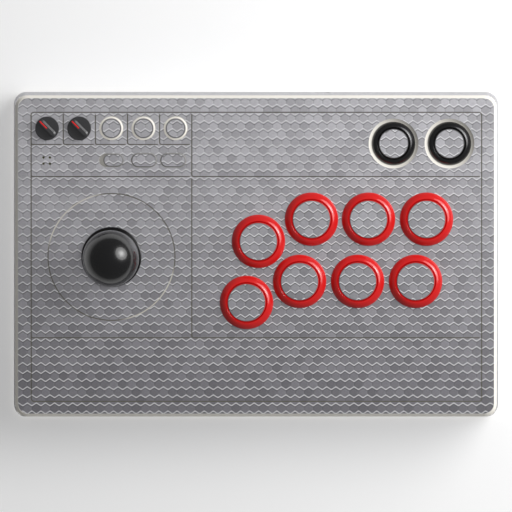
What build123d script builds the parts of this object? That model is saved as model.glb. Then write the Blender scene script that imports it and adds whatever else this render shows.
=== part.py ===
from build123d import *
import os
from math import atan, degrees

# Arcade joystick panel: a low box with leaning sides, a ball-top lever on the left, eight large and
# two small push buttons, and a block of small controls at the rear left.
# +X runs to the right, +Y to the rear and +Z up. The origin is the middle of the footprint,
# at the height of the surface that the panel stands on. All sizes are in millimetres.

# ---- Case ----
case_length = 303.1
case_width = 203.2
case_corner = 8.0
skin = 0.3                    # thickness of the printed skin on the top and round the sides
panel_top = 51.0              # top of the skin
panel_wall = 3.0
side_lean = 1.6               # how far a side leans in between its foot and the lip
lip_width = 1.7
lip_height = 2.0
mat_height = 2.5
mat_inset = 13.5              # leaves the case screws uncovered
base_height = 3.0
running_gap = 0.3             # between pieces that move past each other

# ---- Lever ----
lever_x, lever_y = -90.0, -0.6
ball_radius = 17.5
overall_height = 111.8        # to the top of the ball
pivot_height = 36.0
pivot_radius = 9.0
pivot_neck = 6.4              # from the pivot centre up to the top of the pivot ball
shaft_upper = 9.5
shaft_lower = 7.0
shaft_bore = 7.1              # of the pivot ball and the actuator
sleeve_diameter = 11.0
lever_opening = 24.0
washer_diameter = 37.5
plate_size = (95.0, 53.0, 1.6)
plate_top = 44.7
plate_pitch = (84.0, 40.0)
plate_clearance = 3.2
housing_pitch = 40.0
housing_side = 50.0
housing_bottom = 24.0
web_bottom = 28.5             # underside of the seat that carries the pivot ball
actuator_diameter = 17.0
actuator_top = 20.0
actuator_bottom = 9.5
gate_opening = 25.4
gate_bottom = 8.2
gate_height = 4.2
shaft_bottom = 7.2

# ---- Push buttons ----
upper_row = [(1.5, 9.1), (34.5, 22.9), (70.0, 22.9), (106.1, 22.9)]
lower_row = [(-5.9, -28.9), (27.1, -15.8), (63.2, -15.8), (99.3, -15.8)]
button_places = upper_row + lower_row
button_hole = 30.0
button_rim = 33.4
button_bore = 24.4
button_rim_height = 3.6
button_proud = 2.6
aux_places = [(85.6, 70.0), (120.4, 70.0)]
aux_hole = 24.0
aux_rim = 27.3
aux_bore = 19.2
aux_rim_height = 3.4
aux_proud = 2.0
aux_recess_top = 31.0
aux_recess_floor = 27.6
aux_recess_depth = 1.5
aux_land = 2.0                # extra panel left round a recess, on the underside
rim_ridge = 0.7               # from the bore out to the top of a rim
rim_foot = 0.3                # upright part of a rim, where it meets the panel
rim_handle = 1.3              # how slowly the slope of a rim turns up at its foot and down at its ridge
bore_flare = 1.2              # depth of the roll from a rim's ridge into its bore
barrel_wall = 1.4
barrel_gap = 0.2              # between a barrel and its hole
button_barrel = 22.0          # depth of a barrel below the top face
button_travel = 3.0
cap_depth = 9.0
cap_thickness = 1.8
button_switch = (14.0, 6.5, 7.0)

# ---- Small controls, on a 20 mm grid ----
cell = 20.0
knob_row = 79.5
knob_places = [(-130.0, knob_row), (-110.0, knob_row)]
knob_diameter = 14.8
knob_angle = 135.0            # where the grip points at rest
knob_hole = 7.0
round_places = [(-90.0, knob_row), (-70.0, knob_row), (-50.0, knob_row)]
round_diameter = 12.2
round_ring = 14.3
round_proud = 1.0
round_slope = 0.35             # how much lower a round button's ring is at its outer edge
pill_places = [(-69.7, 59.6), (-51.6, 59.6)]
pill_size = (15.7, 8.5)
pill_proud = 0.6
slide_place = (-90.0, 59.6)
slide_slot = (15.5, 8.5)
slide_cap = (12.4, 7.9)
slide_foot = (19.0, 9.5)      # covers the slot from below all along its travel
slide_travel = 2.5
light_places = [(-132.3, 61.3), (-128.3, 61.3), (-132.3, 57.5), (-128.3, 57.5)]
light_diameter = 1.5
light_middle = (-130.3, 59.4)
press_travel = 0.6

# ---- Embossed lines on the skin ----
line_width = 0.5
line_depth = 0.15
line_gap = 1.0                # a line ends this far short of the next one
line_corner = 1.2
frame_corner = 1.7
frame_left, frame_right = -140.0, 140.4
frame_front, frame_rear = -90.6, 89.4
divider_x = -40.0
cell_foot = 69.4
band_rear, band_front = 49.4, -51.0
ring_diameter = 79.0

# ---- Boards and fasteners ----
board_height = 1.6
control_board_bottom = 36.4
control_board_size = (98.0, 41.0)
control_board_place = (-90.0, 71.0)
main_board_bottom = 10.0
main_board_size = (90.0, 49.0)
main_board_place = (55.0, 70.5)
usb_x = 40.0
usb_centre_height = 13.25
usb_size = (8.94, 3.26)
usb_gap = 0.2                 # between the socket and its opening
usb_window = (13.0, 7.4)      # opening in the skin, clear of a plug's grip
case_screw_places = [(x, y) for x in (-143.0, 0.0, 143.0) for y in (-93.0, 93.0)]
boss_diameter = 8.0
small_boss = 5.0
small_shank = 1.8
small_head = 3.8
small_clearance = 2.0
thread_gap = 0.05             # between a screw and the hole it bites in
screw_gap = 0.2               # between a screw and the hole it passes through
case_screw_length = 13.5
plate_screw_length = 5.6
housing_screw_length = 7.6
screw_shank = 2.5
screw_head = 5.4
screw_head_height = 1.6
hex_recess = 1.0              # depth, and centre to corner
case_hole_depth = 12.0
plate_hole_depth = 4.5
small_hole_depth = 7.0

# ---- Levels worked out from the sizes above ----
shell_top = panel_top - skin
panel_underside = shell_top - panel_wall
lip_bottom = shell_top - lip_height
base_top = mat_height + base_height
lean_angle = degrees(atan(side_lean / (lip_bottom - mat_height)))
lip_angle = degrees(atan(lip_width / lip_height))
face_length = case_length - 2 * (side_lean + lip_width)
face_width = case_width - 2 * (side_lean + lip_width)
face_corner = case_corner - 1.5
plate_bottom = plate_top - plate_size[2]
ball_height = overall_height - ball_radius
recess_floor = shell_top - aux_recess_depth
control_board_top = control_board_bottom + board_height
lever_board_bottom = housing_bottom - board_height
gate_top = gate_bottom + gate_height
plate_holes = [(lever_x + sx * plate_pitch[0] / 2, lever_y + sy * plate_pitch[1] / 2)
               for sx in (-1, 1) for sy in (-1, 1)]
control_bosses = [(-136.5, 67.0), (-104.0, 53.5), (-43.5, 70.0), (-120.0, 88.5)]
main_board_bosses = [(main_board_place[0] + sx * 40.0, main_board_place[1] + sy * 20.0)
                     for sx in (-1, 1) for sy in (-1, 1)]
housing_screws = [(lever_x + sx * housing_pitch / 2, lever_y + sy * housing_pitch / 2)
                  for sx in (-1, 1) for sy in (-1, 1)]
# (left, front, right, rear) of every field that the embossed lines mark out
fields = [(frame_left + n * cell, cell_foot, frame_left + (n + 1) * cell, frame_rear) for n in range(5)]
fields += [(frame_left, band_rear, divider_x, cell_foot), (divider_x, band_rear, frame_right, frame_rear),
           (frame_left, band_front, divider_x, band_rear), (divider_x, band_front, frame_right, band_rear)]

os.makedirs("parts", exist_ok=True)

# ---- Top shell: leaning sides, a bevelled lip, and openings for every control ----
with BuildPart() as top_shell:
    with BuildSketch(Plane.XY.offset(mat_height)):
        RectangleRounded(case_length - 2 * skin, case_width - 2 * skin, case_corner - skin)
    extrude(amount=lip_bottom - mat_height, taper=lean_angle)
    with BuildSketch(Plane.XY.offset(lip_bottom)):
        RectangleRounded(face_length + 2 * lip_width, face_width + 2 * lip_width, case_corner - 0.4)
    extrude(amount=lip_height, taper=lip_angle)
    with BuildSketch(Plane.XY.offset(mat_height)):
        RectangleRounded(case_length - 2 * (skin + panel_wall), case_width - 2 * (skin + panel_wall),
                         case_corner - panel_wall)
    extrude(amount=panel_underside - mat_height, taper=lean_angle, mode=Mode.SUBTRACT)

    # Posts for the case screws, the lever plate and the control board hang from the panel.
    with BuildSketch(Plane.XY.offset(base_top)):
        with Locations(case_screw_places):
            Circle(boss_diameter / 2)
    extrude(amount=panel_underside - base_top)
    with BuildSketch(Plane.XY.offset(plate_top)):
        with Locations(plate_holes):
            Circle(boss_diameter / 2)
    extrude(amount=panel_underside - plate_top)
    with BuildSketch(Plane.XY.offset(control_board_top)):
        with Locations(control_bosses):
            Circle(small_boss / 2)
    extrude(amount=panel_underside - control_board_top)
    with BuildSketch(Plane.XY.offset(panel_underside - aux_recess_depth)):
        with Locations(aux_places):
            Circle(aux_recess_top / 2 + aux_land)
    extrude(amount=aux_recess_depth)

    # Openings through the panel.
    with BuildSketch(Plane.XY.offset(panel_underside)):
        with Locations(button_places):
            Circle(button_hole / 2)
        with Locations((lever_x, lever_y)):
            Circle(lever_opening / 2)
        with Locations(knob_places):
            Circle(knob_hole / 2)
        with Locations(round_places):
            Circle(round_ring / 2 + running_gap)
        with Locations(pill_places):
            SlotOverall(pill_size[0] + 2 * running_gap, pill_size[1] + 2 * running_gap)
        with Locations(slide_place):
            SlotOverall(*slide_slot)
        with Locations(light_places):
            Circle(light_diameter / 2 + 0.05)
    extrude(amount=panel_wall, mode=Mode.SUBTRACT)
    with BuildSketch(Plane.XY.offset(panel_underside - aux_recess_depth)):
        with Locations(aux_places):
            Circle(aux_hole / 2)
    extrude(amount=panel_wall + aux_recess_depth, mode=Mode.SUBTRACT)
    for x, y in aux_places:
        with BuildSketch(Plane((x, y, recess_floor))):
            Circle(aux_recess_floor / 2)
        with BuildSketch(Plane((x, y, shell_top))):
            Circle(aux_recess_top / 2)
        loft(mode=Mode.SUBTRACT)

    # Blind holes for the screws.
    with BuildSketch(Plane.XY.offset(base_top)):
        with Locations(case_screw_places):
            Circle(screw_shank / 2 + thread_gap)
    extrude(amount=case_hole_depth, mode=Mode.SUBTRACT)
    with BuildSketch(Plane.XY.offset(plate_top)):
        with Locations(plate_holes):
            Circle(screw_shank / 2 + thread_gap)
    extrude(amount=plate_hole_depth, mode=Mode.SUBTRACT)
    with BuildSketch(Plane.XY.offset(control_board_top)):
        with Locations(control_bosses):
            Circle(small_shank / 2 + thread_gap)
    extrude(amount=small_hole_depth, mode=Mode.SUBTRACT)

    # The socket opening in the rear wall.
    with BuildSketch(Plane.XZ.offset(-case_width / 2)):
        with Locations((usb_x, usb_centre_height)):
            SlotOverall(usb_size[0] + 2 * usb_gap, usb_size[1] + 2 * usb_gap)
    extrude(amount=2 * panel_wall, mode=Mode.SUBTRACT)
top_shell.part.label = "top_shell"
export_step(top_shell.part, "parts/top_shell.step")

# ---- Skin on the top face: one thin sheet with fine embossed lines ----
with BuildPart() as skin_top:
    with BuildSketch(Plane.XY.offset(shell_top)):
        RectangleRounded(face_length - 0.2, face_width - 0.2, face_corner)
        with Locations(button_places):
            Circle(button_hole / 2, mode=Mode.SUBTRACT)
        with Locations(aux_places):
            Circle(aux_recess_top / 2, mode=Mode.SUBTRACT)
        with Locations((lever_x, lever_y)):
            Circle(lever_opening / 2, mode=Mode.SUBTRACT)
        with Locations(knob_places):
            Circle(knob_hole / 2, mode=Mode.SUBTRACT)
        with Locations(round_places):
            Circle(round_ring / 2 + running_gap, mode=Mode.SUBTRACT)
        with Locations(pill_places):
            SlotOverall(pill_size[0] + 2 * running_gap, pill_size[1] + 2 * running_gap, mode=Mode.SUBTRACT)
        with Locations(slide_place):
            SlotOverall(*slide_slot, mode=Mode.SUBTRACT)
        with Locations(light_places):
            Circle(light_diameter / 2 + 0.05, mode=Mode.SUBTRACT)
    extrude(amount=skin)
    with BuildSketch(Plane.XY.offset(panel_top - line_depth)):
        with Locations(((frame_left + frame_right) / 2, (frame_front + frame_rear) / 2)):
            RectangleRounded(frame_right - frame_left + line_width, frame_rear - frame_front + line_width,
                             frame_corner + line_width / 2)
            RectangleRounded(frame_right - frame_left - line_width, frame_rear - frame_front - line_width,
                             frame_corner - line_width / 2, mode=Mode.SUBTRACT)
        # Each field inside the frame has a line down its left side that turns along its foot.
        for left, front, right, rear in fields:
            with BuildLine():
                FilletPolyline((left, rear - line_gap), (left, front), (right - line_gap, front),
                               radius=line_corner)
            trace(line_width=line_width)
        with Locations((lever_x, lever_y)):
            Circle((ring_diameter + line_width) / 2)
            Circle((ring_diameter - line_width) / 2, mode=Mode.SUBTRACT)
    extrude(amount=line_depth, mode=Mode.SUBTRACT)
skin_top.part.label = "skin_top"
export_step(skin_top.part, "parts/skin_top.step")

# ---- Skin round the leaning sides ----
skin_foot = mat_height + 0.8
foot_lean = side_lean * (skin_foot - mat_height) / (lip_bottom - mat_height)
with BuildPart() as skin_sides:
    with BuildSketch(Plane.XY.offset(skin_foot)):
        RectangleRounded(case_length - 2 * foot_lean, case_width - 2 * foot_lean, case_corner - foot_lean)
    extrude(amount=lip_bottom - skin_foot, taper=lean_angle)
    with BuildSketch(Plane.XY.offset(skin_foot)):
        RectangleRounded(case_length - 2 * (foot_lean + skin), case_width - 2 * (foot_lean + skin),
                         case_corner - foot_lean - skin)
    extrude(amount=lip_bottom - skin_foot, taper=lean_angle, mode=Mode.SUBTRACT)
    with BuildSketch(Plane.XZ.offset(-case_width / 2)):
        with Locations((usb_x, usb_centre_height)):
            SlotOverall(*usb_window)
    extrude(amount=2 * panel_wall, mode=Mode.SUBTRACT)
skin_sides.part.label = "skin_sides"
export_step(skin_sides.part, "parts/skin_sides.step")

# ---- Base plate, mat and case screws ----
with BuildPart() as base_plate:
    with BuildSketch(Plane.XY.offset(mat_height)):
        RectangleRounded(case_length - 2 * (skin + panel_wall) - 0.6,
                         case_width - 2 * (skin + panel_wall) - 0.6, case_corner - panel_wall - 0.3)
    extrude(amount=base_height)
    with BuildSketch(Plane.XY.offset(base_top)):
        with Locations(main_board_bosses):
            Circle(small_boss / 2)
            Circle(small_shank / 2 + thread_gap, mode=Mode.SUBTRACT)
    extrude(amount=main_board_bottom - base_top)
    with BuildSketch(Plane.XY.offset(mat_height)):
        with Locations(case_screw_places):
            Circle(screw_shank / 2 + screw_gap)
    extrude(amount=base_height, mode=Mode.SUBTRACT)
    with BuildSketch(Plane.XY.offset(mat_height)):
        with Locations(case_screw_places):
            Circle(screw_head / 2 + running_gap)
    extrude(amount=screw_head_height + screw_gap, mode=Mode.SUBTRACT)
base_plate.part.label = "base_plate"
export_step(base_plate.part, "parts/base_plate.step")

with BuildPart() as non_slip_mat:
    with BuildSketch():
        RectangleRounded(case_length - 2 * mat_inset, case_width - 2 * mat_inset, case_corner - 2)
    extrude(amount=mat_height)
non_slip_mat.part.label = "non_slip_mat"
export_step(non_slip_mat.part, "parts/non_slip_mat.step")

with BuildPart() as case_screws:
    with BuildSketch(Plane.XY.offset(mat_height + screw_gap)):
        with Locations(case_screw_places):
            Circle(screw_head / 2)
    extrude(amount=screw_head_height)
    with BuildSketch(Plane.XY.offset(mat_height + screw_gap)):
        with Locations(case_screw_places):
            RegularPolygon(hex_recess, 6)
    extrude(amount=hex_recess, mode=Mode.SUBTRACT)
    with BuildSketch(Plane.XY.offset(mat_height + screw_gap + screw_head_height)):
        with Locations(case_screw_places):
            Circle(screw_shank / 2)
    extrude(amount=case_screw_length - screw_head_height)
case_screws.part.label = "case_screws"
export_step(case_screws.part, "parts/case_screws.step")

# ---- Push buttons: a snap-in housing, a plunger and a microswitch at each place ----
# (place, hole, rim, rim height, bore, how far the plunger stands proud, level the rim sits on)
large_button = (button_hole, button_rim, button_rim_height, button_bore, button_proud, panel_top)
small_button = (aux_hole, aux_rim, aux_rim_height, aux_bore, aux_proud, recess_floor)
push_buttons = [(f"button_housing_{n}", f"button_plunger_{n}", place, large_button)
                for n, place in enumerate(button_places, start=1)]
push_buttons += [(f"aux_housing_{n}", f"aux_plunger_{n}", place, small_button)
                 for n, place in enumerate(aux_places, start=1)]
stem_radius = 3.0
stem_clearance = 0.5
barrel_floor = 1.5
barrel_chamfer = 0.8
barrel_bottom = panel_top - button_barrel
nub_top = barrel_bottom + barrel_floor - running_gap
stem_bottom = nub_top + button_travel + 0.2
snap_width, snap_depth = 6.0, 0.6
snap_gap = 1.7                # from the panel down to a snap wedge

for housing_name, plunger_name, (x, y), size in push_buttons:
    hole, rim, rim_height, bore, proud, seat = size
    bore_radius, rim_radius, barrel_radius = bore / 2, rim / 2, hole / 2 - barrel_gap
    ridge_radius, rim_top = bore_radius + rim_ridge, seat + rim_height
    with BuildPart() as housing:
        # Half the section through the rim and the barrel, turned about the button's axis.
        with BuildSketch(Plane((x, y, 0), x_dir=(1, 0, 0), z_dir=(0, -1, 0))):
            with BuildLine():
                Polyline((bore_radius, rim_top - bore_flare), (bore_radius, barrel_bottom + barrel_floor),
                         (stem_radius + stem_clearance, barrel_bottom + barrel_floor),
                         (stem_radius + stem_clearance, barrel_bottom),
                         (barrel_radius - barrel_chamfer, barrel_bottom),
                         (barrel_radius, barrel_bottom + barrel_chamfer), (barrel_radius, seat),
                         (rim_radius, seat), (rim_radius, seat + rim_foot))
                # The rim slopes up like a cone, rounded at its foot and its ridge, then dips to the bore.
                Bezier((rim_radius, seat + rim_foot), (rim_radius - 0.1, seat + rim_handle),
                       (ridge_radius + rim_handle, rim_top), (ridge_radius, rim_top))
                Bezier((ridge_radius, rim_top), ((bore_radius + ridge_radius) / 2, rim_top),
                       (bore_radius, rim_top - bore_flare / 2), (bore_radius, rim_top - bore_flare))
            make_face()
        revolve(axis=Axis((x, y, 0), (0, 0, 1)))
        # Two snap wedges just under the panel.
        for side in (-1, 1):
            with BuildSketch(Plane((x, y, panel_underside - snap_gap), x_dir=(1, 0, 0), z_dir=(0, 0, -1))):
                with Locations((side * barrel_radius, 0)):
                    Rectangle(2 * snap_depth, snap_width)
            extrude(amount=5, taper=5)
    housing.part.label = housing_name
    export_step(housing.part, f"parts/{housing_name}.step")

    with BuildPart() as plunger:
        cap_radius = bore_radius - running_gap
        cap_bottom = rim_top + proud - cap_depth
        with BuildSketch(Plane((x, y, cap_bottom))):
            Circle(cap_radius)
        extrude(amount=cap_depth)
        fillet(plunger.edges().group_by(Axis.Z)[-1], 0.5)
        with BuildSketch(Plane((x, y, cap_bottom))):
            Circle(cap_radius - barrel_wall)
        extrude(amount=cap_depth - cap_thickness, mode=Mode.SUBTRACT)
        with BuildSketch(Plane((x, y, stem_bottom))):
            Circle(stem_radius)
        extrude(amount=rim_top + proud - cap_thickness - stem_bottom)
    plunger.part.label = plunger_name
    export_step(plunger.part, f"parts/{plunger_name}.step")

# One microswitch under each barrel, with its nub up through the barrel floor and two terminals.
switch_length, switch_width, switch_height = button_switch
with BuildPart() as button_microswitches:
    for _, _, (x, y), _ in push_buttons:
        with BuildSketch(Plane((x, y, barrel_bottom - switch_height))):
            Rectangle(switch_length, switch_width)
        extrude(amount=switch_height)
        with BuildSketch(Plane((x, y, barrel_bottom))):
            Rectangle(3, 2)
        extrude(amount=nub_top - barrel_bottom)
        with BuildSketch(Plane((x, y, barrel_bottom - switch_height - 4))):
            with Locations((-4.5, 0), (4.5, 0)):
                Rectangle(0.6, 3.2)
        extrude(amount=4)
button_microswitches.part.label = "button_microswitches"
export_step(button_microswitches.part, "parts/button_microswitches.step")

# ---- Lever: everything that hangs from the panel and stays still ----
lever_axis = Axis((lever_x, lever_y, 0), (0, 0, 1))
lever_section = Plane((lever_x, lever_y, 0), x_dir=(1, 0, 0), z_dir=(0, -1, 0))

with BuildPart() as mounting_plate:
    with BuildSketch(Plane((lever_x, lever_y, plate_bottom))):
        RectangleRounded(plate_size[0], plate_size[1], 4)
        Circle(lever_opening / 2, mode=Mode.SUBTRACT)
        with GridLocations(*plate_pitch, 2, 2):
            Circle(plate_clearance / 2, mode=Mode.SUBTRACT)
        with GridLocations(housing_pitch, housing_pitch, 2, 2):
            Circle(plate_clearance / 2, mode=Mode.SUBTRACT)
    extrude(amount=plate_size[2])
mounting_plate.part.label = "mounting_plate"
export_step(mounting_plate.part, "parts/mounting_plate.step")

# Four screws hold the plate to the panel's posts, and four hold the housing to the plate.
with BuildPart() as plate_screws:
    with BuildSketch(Plane.XY.offset(plate_bottom)):
        with Locations(plate_holes):
            Circle(screw_head / 2)
    extrude(amount=-screw_head_height)
    with BuildSketch(Plane.XY.offset(plate_bottom)):
        with Locations(plate_holes):
            Circle(screw_shank / 2)
    extrude(amount=plate_screw_length)
    with BuildSketch(Plane.XY.offset(plate_top)):
        with Locations(housing_screws):
            Circle(screw_head / 2)
    extrude(amount=screw_head_height)
    with BuildSketch(Plane.XY.offset(plate_top)):
        with Locations(housing_screws):
            Circle(screw_shank / 2)
    extrude(amount=-housing_screw_length)
plate_screws.part.label = "plate_screws"
export_step(plate_screws.part, "parts/plate_screws.step")

# The housing is a block with an open top, a conical seat for the pivot ball and an open skirt below.
well_radius = 12.0
web_radius = 6.0
skirt_radius = 11.0
with BuildPart() as lever_housing:
    with BuildSketch(Plane((lever_x, lever_y, housing_bottom))):
        RectangleRounded(housing_side, housing_side, 3)
    extrude(amount=plate_bottom - housing_bottom)
    with BuildSketch(lever_section):
        with BuildLine():
            Polyline((0, plate_bottom), (well_radius, plate_bottom), (well_radius, pivot_height),
                     (web_radius, web_bottom), (skirt_radius, web_bottom), (skirt_radius, housing_bottom),
                     (0, housing_bottom), close=True)
        make_face()
    revolve(axis=lever_axis, mode=Mode.SUBTRACT)
    with BuildSketch(Plane.XY.offset(plate_bottom)):
        with Locations(housing_screws):
            Circle(screw_shank / 2 + thread_gap)
    extrude(amount=-small_hole_depth, mode=Mode.SUBTRACT)
lever_housing.part.label = "lever_housing"
export_step(lever_housing.part, "parts/lever_housing.step")

with BuildPart() as lever_switch_board:
    with BuildSketch(Plane((lever_x, lever_y, lever_board_bottom))):
        RectangleRounded(housing_side + 8, housing_side, 2)
        Circle(well_radius, mode=Mode.SUBTRACT)
    extrude(amount=board_height)
lever_switch_board.part.label = "lever_switch_board"
export_step(lever_switch_board.part, "parts/lever_switch_board.step")

# Four microswitches round the actuator, their nubs pointing in at it.
switch_inner = 12.6
nub_inner = 11.7
lever_switch = (6.4, 19.8)
lever_nub = (3.0, 1.8)
with BuildPart() as lever_microswitches:
    for turn in range(4):
        side = Plane((lever_x, lever_y, gate_top)).rotated((0, 0, 90 * turn))
        with BuildSketch(side):
            with Locations((switch_inner + lever_switch[0] / 2, 0)):
                Rectangle(*lever_switch)
        extrude(amount=lever_board_bottom - gate_top)
        with BuildSketch(side.offset(4.2)):
            with Locations(((switch_inner + nub_inner) / 2, 0)):
                Rectangle(switch_inner - nub_inner, lever_nub[0])
        extrude(amount=lever_nub[1])
lever_microswitches.part.label = "lever_microswitches"
export_step(lever_microswitches.part, "parts/lever_microswitches.step")

with BuildPart() as restrictor_gate:
    with BuildSketch(Plane((lever_x, lever_y, gate_bottom))):
        RectangleRounded(housing_side, housing_side, 3)
        RectangleRounded(gate_opening, gate_opening, 2, mode=Mode.SUBTRACT)
    extrude(amount=gate_height)
    with BuildSketch(Plane((lever_x, lever_y, gate_top))):
        with GridLocations(44, 44, 2, 2):
            Rectangle(5, 5)
    extrude(amount=lever_board_bottom - gate_top)
restrictor_gate.part.label = "restrictor_gate"
export_step(restrictor_gate.part, "parts/restrictor_gate.step")

# ---- Lever: everything that tilts ----
# The pivot ball and the actuator tilt both ways; the shaft also turns freely inside them.
with BuildPart() as pivot_ball:
    with BuildSketch(lever_section):
        with BuildLine():
            floor_level = 29.2
            floor_radius = (pivot_radius ** 2 - (pivot_height - floor_level) ** 2) ** 0.5
            neck_level = pivot_height + pivot_neck
            neck_radius = (pivot_radius ** 2 - pivot_neck ** 2) ** 0.5
            ThreePointArc((floor_radius, floor_level), (pivot_radius, pivot_height),
                          (neck_radius, neck_level))
            Polyline((neck_radius, neck_level), (shaft_bore / 2, neck_level),
                     (shaft_bore / 2, floor_level), (floor_radius, floor_level))
        make_face()
    revolve(axis=lever_axis)
pivot_ball.part.label = "pivot_ball"
export_step(pivot_ball.part, "parts/pivot_ball.step")

with BuildPart() as actuator:
    with BuildSketch(Plane((lever_x, lever_y, actuator_bottom))):
        Circle(actuator_diameter / 2)
        Circle(shaft_bore / 2, mode=Mode.SUBTRACT)
    extrude(amount=actuator_top - actuator_bottom)
    chamfer(actuator.edges().filter_by(GeomType.CIRCLE).group_by(SortBy.RADIUS)[-1], 0.5)
actuator.part.label = "actuator"
export_step(actuator.part, "parts/actuator.step")

spring_bottom, spring_top = 21.4, 27.3
spring_wire = 1.1
spring_radius = 7.0
with BuildPart() as return_spring:
    with BuildLine(Plane((lever_x, lever_y, spring_bottom + spring_wire / 2))):
        coil = Helix(pitch=1.6, height=spring_top - spring_bottom - spring_wire, radius=spring_radius)
    with BuildSketch(Plane(origin=coil @ 0, z_dir=coil % 0)):
        Circle(spring_wire / 2)
    sweep(path=coil, is_frenet=True)
return_spring.part.label = "return_spring"
export_step(return_spring.part, "parts/return_spring.step")

# The shaft steps down at the pivot, has a collar above it and a threaded stud for the ball.
collar_bottom = neck_level + 0.1
collar_top = collar_bottom + 2
ball_flat = ball_height - 16.2
stud_radius = 3.0
stud_top = ball_flat + 11
clip_level = actuator_bottom - 0.9
clip_height = 0.6
clip_radius = 5.5
groove_radius = 2.6
with BuildPart() as lever_shaft:
    with BuildSketch(lever_section):
        with BuildLine():
            Polyline((0, shaft_bottom), (shaft_lower / 2 - 0.5, shaft_bottom),
                     (shaft_lower / 2, shaft_bottom + 0.5), (shaft_lower / 2, clip_level),
                     (groove_radius, clip_level), (groove_radius, clip_level + clip_height),
                     (shaft_lower / 2, clip_level + clip_height), (shaft_lower / 2, collar_bottom),
                     (sleeve_diameter / 2, collar_bottom), (sleeve_diameter / 2, collar_top),
                     (shaft_upper / 2, collar_top), (shaft_upper / 2, ball_flat),
                     (stud_radius, ball_flat), (stud_radius, stud_top), (0, stud_top), close=True)
        make_face()
    revolve(axis=lever_axis)
lever_shaft.part.label = "lever_shaft"
export_step(lever_shaft.part, "parts/lever_shaft.step")

with BuildPart() as shaft_clip:
    with BuildSketch(Plane((lever_x, lever_y, clip_level))):
        Circle(clip_radius)
        Circle(groove_radius, mode=Mode.SUBTRACT)
        with Locations((clip_radius / 2 + 1.45, 0)):
            Rectangle(5, groove_radius, mode=Mode.SUBTRACT)
    extrude(amount=clip_height)
shaft_clip.part.label = "shaft_clip"
export_step(shaft_clip.part, "parts/shaft_clip.step")

with BuildPart() as shaft_sleeve:
    with BuildSketch(Plane((lever_x, lever_y, collar_top))):
        Circle(sleeve_diameter / 2)
        Circle(shaft_upper / 2, mode=Mode.SUBTRACT)
    extrude(amount=ball_flat - collar_top)
shaft_sleeve.part.label = "shaft_sleeve"
export_step(shaft_sleeve.part, "parts/shaft_sleeve.step")

flat_radius = (ball_radius ** 2 - (ball_height - ball_flat) ** 2) ** 0.5
with BuildPart() as ball_top:
    with BuildSketch(lever_section):
        with BuildLine():
            ThreePointArc((flat_radius, ball_flat), (ball_radius, ball_height), (0, overall_height))
            Polyline((0, overall_height), (0, stud_top + 0.5), (stud_radius, stud_top + 0.5),
                     (stud_radius, ball_flat), (flat_radius, ball_flat))
        make_face()
    revolve(axis=lever_axis)
ball_top.part.label = "ball_top"
export_step(ball_top.part, "parts/ball_top.step")

# A thin glide ring lies on the panel, and the dust washer rides on it round the sleeve.
ring_bottom = panel_top + 0.1
ring_height = 0.4
washer_bottom = ring_bottom + ring_height + 0.1
washer_height = 1.5
with BuildPart() as washer_glide_ring:
    with BuildSketch(Plane((lever_x, lever_y, ring_bottom))):
        Circle(15)
        Circle(9, mode=Mode.SUBTRACT)
    extrude(amount=ring_height)
washer_glide_ring.part.label = "washer_glide_ring"
export_step(washer_glide_ring.part, "parts/washer_glide_ring.step")

with BuildPart() as dust_washer:
    with BuildSketch(Plane((lever_x, lever_y, washer_bottom))):
        Circle(washer_diameter / 2)
    extrude(amount=washer_height)
    fillet(dust_washer.edges().group_by(Axis.Z)[-1], 0.6)
    with BuildSketch(Plane((lever_x, lever_y, washer_bottom))):
        Circle(sleeve_diameter / 2 + 2 * running_gap)
    extrude(amount=washer_height, mode=Mode.SUBTRACT)
dust_washer.part.label = "dust_washer"
export_step(dust_washer.part, "parts/dust_washer.step")

# ---- Small controls ----
# A selector knob: a round skirt, a bar grip across it and a stem down into the rotary switch.
knob_bottom = panel_top + running_gap
skirt_height = 3.2
grip_height = 5.0
grip_width = 4.4
grip_inset = 0.6              # of the grip's ends from the skirt
grip_bevel = 1.2              # across the top of the grip
grip_bevel_drop = 0.65
knob_stem = 6.0
stem_end = 41.0
for knob_name, (x, y) in zip(("mode_knob", "link_knob"), knob_places):
    with BuildPart() as knob:
        with BuildSketch(Plane((x, y, knob_bottom))):
            Circle(knob_diameter / 2)
        extrude(amount=skirt_height)
        chamfer(knob.edges().group_by(Axis.Z)[-1], 0.4)
        with BuildSketch(Plane((x, y, knob_bottom + 1))):
            with Locations(Location((0, 0), knob_angle)):
                SlotOverall(knob_diameter - 2 * grip_inset, grip_width)
        extrude(amount=skirt_height + grip_height - 1)
        grip_top = knob.faces().sort_by(Axis.Z)[-1]
        chamfer(grip_top.edges(), grip_bevel, grip_bevel_drop, reference=grip_top)
        with BuildSketch(Plane((x, y, knob_bottom))):
            Circle(knob_stem / 2)
        extrude(amount=stem_end - knob_bottom)
    knob.part.label = knob_name
    export_step(knob.part, f"parts/{knob_name}.step")

with BuildPart() as rotary_switches:
    for x, y in knob_places:
        with BuildSketch(Plane((x, y, control_board_top))):
            RectangleRounded(14, 14, 1.5)
        extrude(amount=5)
        with BuildSketch(Plane((x, y, control_board_top + 5))):
            Circle(4.5)
        extrude(amount=2.5)
        with BuildSketch(Plane((x, y, stem_end - 0.4))):
            Circle(knob_stem / 2 + thread_gap)
        extrude(amount=10, mode=Mode.SUBTRACT)
rotary_switches.part.label = "rotary_switches"
export_step(rotary_switches.part, "parts/rotary_switches.step")

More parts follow.
